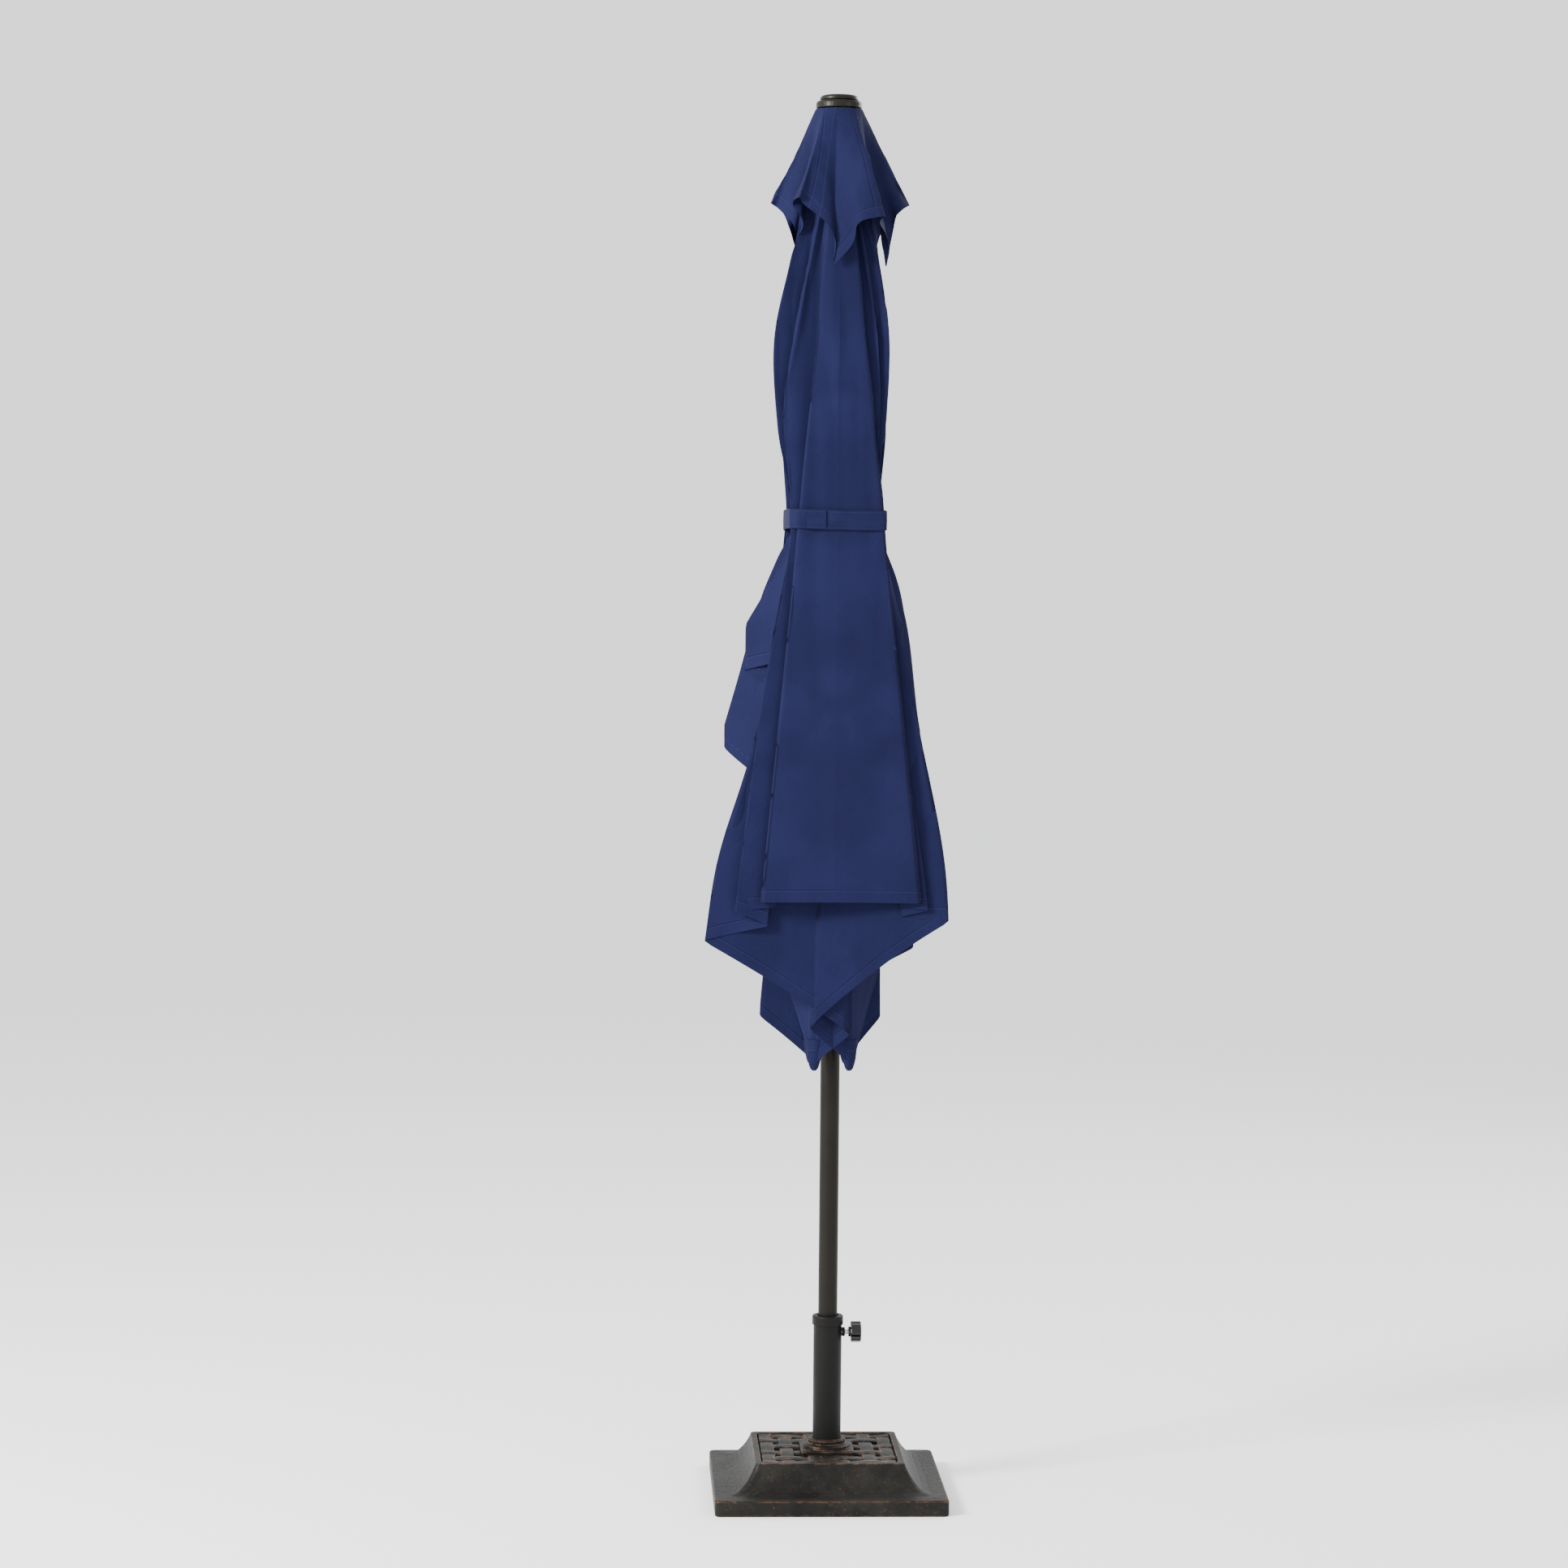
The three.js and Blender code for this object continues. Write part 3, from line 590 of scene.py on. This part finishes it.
def folded_panel(name, rib, other, widen, creases, face, seed):
    """Half of a canopy side, from its rib to the line where it meets the other half.
    creases: (angle from the rib, sideways place at rest or None where the cloth body holds it, layer).
    face is the way that the layers near the other half stand out, or None for the rib's own way."""
    keys = [c[0] for c in creases]
    angles = column_angles(keys, COLUMNS_PER_FOLD)
    side = unit(other.raised - (other.raised @ rib.raised) * rib.raised)
    above = np.cross(rib.raised, side)
    above = above if above[2] > 0 else -above
    share = angles / keys[-1]
    directions = np.cos(angles)[:, None] * rib.raised + np.sin(angles)[:, None] * side
    last_side = math.cos(keys[-1]) * side - math.sin(keys[-1]) * rib.raised
    starts = rib.pivot + widen * share[:, None] * last_side
    reach = np.array([hem_distance(p, d, rib, other) for p, d in zip(starts, directions)])
    whole = np.arccos(np.clip(rib.raised @ other.raised, -1, 1))
    reach = reach - HEM_SCALLOP * np.sin(np.clip(math.pi * angles / whole, 0, math.pi)) ** 0.8
    tau = np.linspace(0, 1, ROWS)
    s = TOP_S + tau[:, None] * (reach - TOP_S)
    blend_up = ease(share)[:, None]
    lift = LIFT * ((1 - blend_up) * rib.above + blend_up * above)
    sag = SAG * np.sin(0.5 * math.pi * share) * s**2 / 2
    opened = starts + s[..., None] * directions + lift - sag[..., None] * above

    line = rib.pivot + s[..., None] * rib.closed
    end = opened[:, -1]
    along = rib.folded(end, np.zeros(ROWS)) - rib.folded(end, np.ones(ROWS))
    along = unit([along[-1, 0], along[-1, 1], 0])
    across = np.array([along[1], -along[0], 0])
    across = across if across @ rib.out > 0 else -across

    held = (rib.folded(opened, np.ones(s.shape)) - line) @ along
    free = (rib.folded(opened, np.zeros(s.shape)) - line) @ along
    wanted = []
    layers = []
    for angle, place, layer in creases:
        column = int(np.argmin(abs(angles - angle)))
        wanted.append(held[:, column] if place is None else curve(s[:, column], place))
        layers.append(np.full(ROWS, layer))
    target = through(angles, keys, wanted, CREASE)
    grid = np.linspace(0, 1, WEIGHT_STEPS)
    trial = np.stack([(rib.folded(opened, np.full(s.shape, g)) - line) @ along for g in grid])
    trial = np.minimum.accumulate(trial, axis=0)
    target = np.clip(target, np.minimum(held, free), np.maximum(held, free))
    i = np.clip((trial >= target).sum(0) - 1, 0, len(grid) - 2)
    near = np.take_along_axis(trial, i[None], 0)[0]
    far = np.take_along_axis(trial, i[None] + 1, 0)[0]
    f = np.clip((near - target) / np.maximum(near - far, 1e-9), 0, 1)
    weight = np.clip((i + f) * (grid[1] - grid[0]), 0, 1)
    weight[:, 0] = 0.0
    held_columns = [int(np.argmin(abs(angles - a))) for a, place, _ in creases if place is None]
    weight[:, min(held_columns):] = 1.0
    rest = rib.folded(opened, weight)
    depth = through(angles, keys, layers, CREASE) * ease(s / LAYERS_FULL_FROM)
    toward = (1 - share[:, None] ** 3) * across + share[:, None] ** 3 * (across if face is None else face)
    rest = rest + depth[..., None] * toward

    edge = np.clip(np.minimum(share, 1 - share) / QUIET_EDGE, 0, 1)
    normal = normals_of(rest)
    waves = 0.6 * ripple(rest, 9.0, seed) + 0.4 * ripple(rest * [1, 1, 0.35], 26.0, seed + 7)
    gathers = 0.5 - 2.2 * np.abs(ripple(rest * [1, 1, 0.07], 24.0, seed + 19))
    waves = PUFF * waves + GATHER * gathers * curve(s, GATHER_ALONG)
    rest = rest + (waves * ease(edge) * ease(s / WAVES_FULL_FROM))[..., None] * normal

    flat = np.stack([s * np.sin(angles) + widen * share, s * np.cos(angles)], -1)
    trim = np.stack([reach - s, s * np.sin(angles)], -1)
    panel = grid_object(name, rest, CLOTH, flat=flat, trim=trim)
    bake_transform(panel)
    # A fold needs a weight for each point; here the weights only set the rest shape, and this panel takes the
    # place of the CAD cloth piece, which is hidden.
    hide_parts(name.replace("canopy_", "cloth_"))
    return panel


# Angle at the hub from a rib to the line where the two halves of a side meet, and how far the cloth's
# starting point has moved sideways by then.
FRONT_HALF = 0.5625
FRONT_WIDEN = 0.0176
SIDE_MEET = math.radians(38.0)
SIDE_WIDEN = 0.020
BESIDE_MEET = math.radians(15.9)

# A fold's line, as (distance along the rib, sideways place).
SMALL_FLAP = [
    (0.2, -0.040), (0.385, -0.058), (0.52, -0.047), (0.67, -0.024),
    (0.8, -0.052), (1.06, -0.102), (1.3, -0.142), (1.45, -0.146),
]
BIG_FLAP = [
    (0.2, -0.050), (0.385, -0.080), (0.52, -0.070), (0.67, -0.043),
    (0.86, -0.066), (1.06, -0.096), (1.3, -0.157), (1.42, -0.171),
]
TO_RIB_TIP = (0.0, [(1, 0.0)], 0.0)

FRONT_LEFT = [
    TO_RIB_TIP,
    (0.05, [(0.2, 0.009), (0.67, 0.028), (1.6, 0.072)], -0.002),
    (0.24, BIG_FLAP, 0.008),
    (0.32, [(0.2, -0.015), (0.67, -0.012), (1.4, -0.060)], 0.002),
    (0.38, [(0.2, -0.038), (0.5, -0.060), (0.67, -0.042), (1.0, -0.084), (1.4, -0.124)], 0.018),
    (0.43, [(0.2, -0.002), (0.67, -0.008), (1.4, -0.050)], 0.009),
    (0.47, None, 0.028),
    (FRONT_HALF, None, 0.031),
]
FRONT_RIGHT = [
    TO_RIB_TIP,
    (0.06, [(0.2, 0.010), (0.67, 0.032), (1.6, 0.085)], -0.002),
    (0.325, SMALL_FLAP, 0.010),
    (0.365, [(0.2, -0.005), (0.67, -0.006), (1.4, -0.060)], 0.002),
    (0.395, [(0.2, -0.032), (0.5, -0.040), (0.67, -0.026), (1.0, -0.068), (1.4, -0.116)], 0.018),
    (0.425, [(0.2, 0.0), (0.67, -0.004), (1.4, -0.060)], 0.009),
    (0.455, None, 0.028),
    (FRONT_HALF, None, 0.031),
]
FRONT_PANELS = {"left": FRONT_LEFT, "right": FRONT_RIGHT}


def back_half(corner):
    """Half of the back panel, whose first fold stands out beside the rib tip as far as told."""
    return [
        TO_RIB_TIP,
        (0.065, [(0.2, -0.010), (0.67, -0.030), (1.0, -0.055), (1.53, -corner)], 0.002),
        (0.13, [(0.2, 0.010), (0.67, 0.005), (1.5, 0.010)], 0.006),
        (0.21, [(0.2, -0.035), (0.5, -0.060), (0.67, -0.045), (1.0, -0.078), (1.4, -0.102)], 0.009),
        (0.28, [(0.2, 0.0), (0.67, 0.0), (1.4, 0.0)], 0.012),
        (0.35, [(0.2, -0.025), (0.67, -0.045), (1.4, -0.095)], 0.015),
        (0.41, [(0.2, 0.0), (0.67, -0.005), (1.4, -0.010)], 0.018),
        (0.47, None, 0.025),
        (FRONT_HALF, None, 0.027),
    ]


BACK_PANELS = {"left": back_half(0.083), "right": back_half(0.052)}


STRAPPED_FLAP = [(0.2, 0.068), (0.385, 0.100), (0.52, 0.092), (0.67, 0.058), (0.74, 0.104)]


def side_front(upper, lower):
    """The front half of a long side: three flaps, of which two reach out as far as told."""
    return [
        TO_RIB_TIP,
        (0.16, [(0.2, 0.03), (0.385, 0.060), (0.67, 0.048), (0.9, 0.09), (1.27, 0.170)], -0.003),
        (0.25, [(0.2, 0.05), (0.385, 0.075), (0.67, 0.030), (1.06, 0.060)], -0.005),
        (0.325, STRAPPED_FLAP + [(1.06, lower)], -0.007),
        (0.44, [(0.2, 0.05), (0.385, 0.060), (0.67, 0.025), (1.06, 0.050)], -0.009),
        (0.54, [(0.2, 0.03), (0.385, 0.060), (0.67, 0.054), (0.74, 0.090), (0.87, upper)], -0.008),
        (SIDE_MEET, None, 0.0),
    ]


SIDE_BACK = [
    TO_RIB_TIP,
    (0.10, [(0.2, 0.020), (0.385, 0.038), (0.67, 0.045), (1.4, 0.100)], -0.002),
    (0.18, [(0.2, 0.005), (0.67, 0.0), (1.3, 0.010)], -0.004),
    (0.27, [(0.2, 0.030), (0.385, 0.055), (0.67, 0.050), (1.2, 0.095)], -0.006),
    (0.36, [(0.2, 0.010), (0.67, 0.0), (1.1, 0.005)], -0.007),
    (0.46, [(0.2, 0.030), (0.385, 0.055), (0.67, 0.052), (1.1, 0.090)], -0.007),
    (0.56, [(0.2, 0.005), (0.67, 0.0), (1.0, 0.005)], -0.004),
    (SIDE_MEET, None, 0.0),
]
BESIDE_RIB = [
    TO_RIB_TIP,
    (0.09, [(0.2, 0.016), (0.67, 0.050), (0.9, 0.078)], 0.004),
    (0.19, [(0.2, -0.005), (0.67, -0.018), (0.9, -0.030)], 0.002),
    (BESIDE_MEET, None, 0.0),
]
SIDE_FLAPS = {"left": side_front(0.176, 0.230), "right": side_front(0.140, 0.192)}
FRONTWARD = (0, -1, 0)
BACKWARD = (0, 1, 0)


def make_canopy():
    """The twelve half sides of the canopy, six on each hand."""
    panels = []
    for hand, other_hand, seed in (("left", "right", 3.0), ("right", "left", 11.0)):
        front, side, back = "front_" + hand, "side_" + hand, "back_" + hand
        front_rib, opposite_front = Rib(front, front), Rib("front_" + other_hand, front)
        back_rib, opposite_back = Rib(back, back), Rib("back_" + other_hand, back)
        front_side = Rib(side, "flap_inner_" + hand)
        back_side = Rib(side, "pleat_outer_" + hand)
        front_corner = Rib(front, "flap_outer_" + hand)
        back_corner = Rib(back, "pleat_inner_" + hand)
        halves = [
            ("front_", front_rib, opposite_front, FRONT_WIDEN, FRONT_PANELS[hand], FRONTWARD),
            ("back_", back_rib, opposite_back, FRONT_WIDEN, BACK_PANELS[hand], BACKWARD),
            ("flap_outer_", front_corner, front_side, SIDE_WIDEN, SIDE_FLAPS[hand], None),
            ("flap_inner_", front_side, front_corner, SIDE_WIDEN, BESIDE_RIB, None),
            ("pleat_inner_", back_corner, front_side, SIDE_WIDEN, SIDE_BACK, None),
            ("pleat_outer_", back_side, back_corner, SIDE_WIDEN, BESIDE_RIB, None),
        ]
        for step, (place, *half) in enumerate(halves):
            panels.append(folded_panel("canopy_" + place + hand, *half, seed + step))
    return panels


PANELS = make_canopy()

# ---------------------------------------------------------------- vent, strap, pockets

VENT_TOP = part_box("finial_base")[1].z - 0.0145
VENT_NECK = 0.0412
VENT_COLUMNS = 336
VENT_ROWS = 34
VENT_OVAL = 0.97
# (angle from +X in degrees, cloth length, flare in degrees), a short flared fold and a long tip by turns
VENT_FOLDS = [
    (-360, 0.184, 27), (-335, 0.245, 9), (-310, 0.190, 26), (-286, 0.250, 9), (-268, 0.205, 18),
    (-250, 0.255, 9), (-230, 0.190, 26), (-205, 0.245, 9), (-180, 0.180, 25), (-152, 0.240, 11),
    (-128, 0.177, 25), (-98, 0.280, 10), (-54, 0.212, 25), (-26, 0.280, 10), (0, 0.184, 27),
]
VENT_SWAY = math.radians(8)


def make_vent():
    """The upper tier of the canopy: one pleated cap that hangs from the finial."""
    angles = np.linspace(-360, 0, VENT_COLUMNS, endpoint=False)
    places = np.array([f[0] for f in VENT_FOLDS], float)
    i = np.clip(np.searchsorted(places, angles, side="right") - 1, 0, len(places) - 2)
    f = (angles - places[i]) / (places[i + 1] - places[i])
    ridge_share = np.where(i % 2 == 0, 1 - f, f)
    ridge = np.where(i % 2 == 0, i, i + 1)
    valley = np.where(i % 2 == 0, i + 1, i)
    share = ridge_share**1.3
    spared = 1 - (1 - ridge_share) ** 2.2
    table = np.array(VENT_FOLDS, float)
    length = table[valley, 1] * (1 - spared) + table[ridge, 1] * spared
    flare = np.radians(table[valley, 2] * (1 - share) + table[ridge, 2] * share)
    d = np.linspace(0, 1, VENT_ROWS)[:, None] * length
    tip = d / length
    lean = flare * (0.97 + 0.03 * tip)
    radius = VENT_NECK + d * np.sin(lean)
    turn = np.radians(angles) + VENT_SWAY * tip**3 * np.sin(2 * math.pi * ridge_share)
    height = VENT_TOP - d * np.cos(lean)
    points = np.stack([radius * np.cos(turn), radius * np.sin(turn) * VENT_OVAL, height], -1)
    normal = normals_of(points)
    waves = ripple(points, 22.0, 41.0) * 0.0035 + ripple(points, 55.0, 43.0) * 0.0012
    points = points + (waves * ease(tip * 2))[..., None] * normal
    flat = np.stack([np.broadcast_to(np.radians(angles) * 0.14, d.shape), d], -1)
    seam = np.abs((angles + 25 + 60) % 60 - 30) * math.pi / 180 * (0.04 + d)
    vent = grid_object("vent_canopy", points, CLOTH, closed=True, flat=flat,
                       trim=np.stack([length - d, seam], -1))
    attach(vent, "pole")
    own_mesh(vent)
    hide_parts("vent_cap")


STRAP_LOW, STRAP_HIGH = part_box("tie_strap")
STRAP_MIDDLE = (STRAP_LOW.z + STRAP_HIGH.z) / 2
STRAP_HALF = (STRAP_HIGH.z - STRAP_LOW.z) / 2
STRAP_WAVE = 0.0016
STRAP_GAP = 0.0012
STRAP_END_GAP = 0.0024
STRAP_END_FROM = -0.058
STRAP_END_TO = -0.012
TAPE_THICK = 0.0014


def bundle_outline(low, high, count):
    """Support distances of the folded canopy between two heights, one for each direction."""
    points = np.concatenate([[v.co for v in p.data.vertices] for p in PANELS])
    band = points[(points[:, 2] > low) & (points[:, 2] < high)]
    turn = np.linspace(0, 2 * math.pi, count, endpoint=False)
    facing = np.stack([np.cos(turn), np.sin(turn)], -1)
    reach = (band[:, :2] @ facing.T).max(0)
    kernel = np.array([1, 4, 6, 4, 1]) / 16
    for _ in range(3):
        reach = np.convolve(np.concatenate([reach[-2:], reach, reach[:2]]), kernel, "valid")
    return turn, facing, reach


def tape_strip(name, path, outward, width, thick):
    """A closed woven tape along a path of (x, y) points, standing upright."""
    rows = [(-1, 0), (-0.97, 1), (0, 1.25), (0.97, 1), (1, 0), (0.97, -0.2), (0, -0.2), (-0.97, -0.2)]
    wander = STRAP_WAVE * np.sin(np.arctan2(path[:, 1], path[:, 0]) * 2 + 0.8)
    ring = []
    for up, out in rows:
        place = path + outward * (out * thick)
        height = STRAP_MIDDLE + up * width + wander
        ring.append(np.stack([place[:, 0], place[:, 1], height], -1))
    points = np.array(ring + ring[:1])
    steps = np.linalg.norm(np.diff(path, axis=0), axis=1)
    run = np.concatenate([[0], np.cumsum(steps)])
    ups = np.array([up for up, _ in rows] + [rows[0][0]]) * width
    flat = np.stack(np.broadcast_arrays(run[None, :], ups[:, None]), -1)
    return grid_object(name, points, TAPE, flat=flat)


def make_strap():
    """The tie strap round the folded canopy, and its stitched end on the front."""
    turn, facing, reach = bundle_outline(STRAP_LOW.z, STRAP_HIGH.z, 240)
    slope = np.gradient(np.concatenate([reach[-1:], reach, reach[:1]]), turn[1])[1:-1]
    side = np.stack([-facing[:, 1], facing[:, 0]], -1)
    path = (reach + STRAP_GAP)[:, None] * facing + slope[:, None] * side
    closed = np.concatenate([path, path[:1]])
    outward = np.concatenate([facing, facing[:1]])
    strap = tape_strip("strap_loop", closed, outward, STRAP_HALF, TAPE_THICK)
    front = path[:, 1] < 0
    tab = front & (path[:, 0] > STRAP_END_FROM) & (path[:, 0] < STRAP_END_TO)
    end_path = path[tab] + facing[tab] * STRAP_END_GAP
    end = tape_strip("strap_end", end_path, facing[tab], STRAP_HALF * 0.96, TAPE_THICK)
    rib = JOINTS["rib_fold_front_right"]
    for piece in (strap, end):
        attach(piece, rib["child"])
        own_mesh(piece)
    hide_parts("tie_strap")


POCKET_LENGTH = 0.055
POCKET_PAST_TIP = 0.010
# Half sizes of a pocket, at its closed end and at its mouth.
POCKET_WIDE = (0.0035, 0.0165)
POCKET_DEEP = (0.0030, 0.0100)


def make_pocket(place):
    """The sewn cap of doubled cloth that holds a rib's tip at the canopy's corner."""
    rib = Rib(place, PANEL_OF[place])
    side = unit(np.cross(rib.closed, rib.out))
    out = np.cross(side, rib.closed)
    tip = rib.pivot + rib.closed * (rib.length + POCKET_PAST_TIP)
    steps = np.linspace(0, 1, 15)
    turn = np.linspace(0, 2 * math.pi, 28, endpoint=False)
    rings = []
    for t in steps:
        half_wide = between(*POCKET_WIDE, math.sqrt(t))
        half_deep = between(*POCKET_DEEP, min(1.0, t * 2.5) ** 0.6)
        cos = np.sign(np.cos(turn)) * np.abs(np.cos(turn)) ** 0.8
        sin = np.sign(np.sin(turn)) * np.abs(np.sin(turn)) ** 0.8
        rings.append(tip - rib.closed * (t * POCKET_LENGTH)
                     + np.outer(cos * half_wide, side) + np.outer(sin * half_deep, out))
    points = np.array(rings)
    flat = np.stack(np.broadcast_arrays(turn[None] * 0.014, steps[:, None] * POCKET_LENGTH), -1)
    trim = np.stack(np.broadcast_arrays((1 - steps[:, None]) * POCKET_LENGTH, turn[None] * 0 + 0.5), -1)
    pocket = grid_object("pocket_" + place, points, CLOTH, closed=True, flat=flat, trim=trim)
    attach(pocket, rib.bodies[0])


PANEL_OF = {
    "front_left": "front_left", "front_right": "front_right",
    "back_left": "back_left", "back_right": "back_right",
    "side_left": "flap_inner_left", "side_right": "flap_inner_right",
}

make_vent()
make_strap()
for rib_place in PANEL_OF:
    make_pocket(rib_place)

# ---------------------------------------------------------------- woven deck of the base

WEAVE_LOW, WEAVE_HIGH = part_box("deck_weave")
STRAPS_ACROSS = 4.94
WEAVE_PITCH = (WEAVE_HIGH.x - WEAVE_LOW.x) / STRAPS_ACROSS
WEAVE_HALF_STRAP = 0.0122
WEAVE_WAVE = 0.0012
PAD_HALF = 0.048
# A strap's section, as (share of its half width, rise): it stands on the deck at both edges.
WEAVE_PROFILE = [(-1, -0.0024), (-1, 0), (-0.86, 0.0008), (0, 0.0012), (0.86, 0.0008), (1, 0), (1, -0.0024)]


def woven_strap(center, index, start, stop, lengthwise):
    """One cast strap of the basket weave, rising over and dipping under the straps it crosses."""
    t = np.linspace(start, stop, max(8, int((stop - start) / 0.0025)))
    sign = (-1) ** index * (1 if lengthwise else -1)
    middle = (WEAVE_LOW.z + WEAVE_HIGH.z) / 2 + 0.0006
    wave = middle + sign * WEAVE_WAVE * np.sin(math.pi * t / WEAVE_PITCH)
    rows = []
    for u, rise in WEAVE_PROFILE:
        across = np.full(t.shape, center + u * WEAVE_HALF_STRAP)
        height = np.maximum(wave + rise, WEAVE_LOW.z) if rise > -0.002 else np.full(t.shape, WEAVE_LOW.z)
        rows.append(np.stack([t, across, height] if lengthwise else [across, t, height], -1))
    return np.array(rows)


def make_deck():
    """The basket weave of the base, as one mesh of crossing straps round the stem's square pad."""
    half = (WEAVE_HIGH.x - WEAVE_LOW.x) / 2
    parts = []
    for index in range(-3, 3):
        center = (index + 0.5) * WEAVE_PITCH
        if abs(center) > half:
            center = math.copysign(half - WEAVE_HALF_STRAP, center)
        spans = [(-half, half)]
        if abs(center) < PAD_HALF + WEAVE_HALF_STRAP:
            spans = [(-half, -PAD_HALF), (PAD_HALF, half)]
        for start, stop in spans:
            for lengthwise in (True, False):
                parts.append(woven_strap(center, index, start, stop, lengthwise))
    vertices, faces = [], []
    for part in parts:
        rows, cols = part.shape[:2]
        index = np.arange(rows * cols).reshape(rows, cols) + len(vertices)
        quads = np.stack([index[:-1, :-1], index[:-1, 1:], index[1:, 1:], index[1:, :-1]], -1)
        faces += quads.reshape(-1, 4).tolist()
        vertices += part.reshape(-1, 3).tolist()
    mesh = bpy.data.meshes.new("deck_basket")
    mesh.from_pydata(vertices, [], faces)
    mesh.polygons.foreach_set("use_smooth", [True] * len(mesh.polygons))
    mesh.materials.append(CAST)
    deck = bpy.data.objects.new("deck_basket", mesh)
    bpy.context.scene.collection.objects.link(deck)
    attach(deck, "base")
    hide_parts("deck_weave")


make_deck()
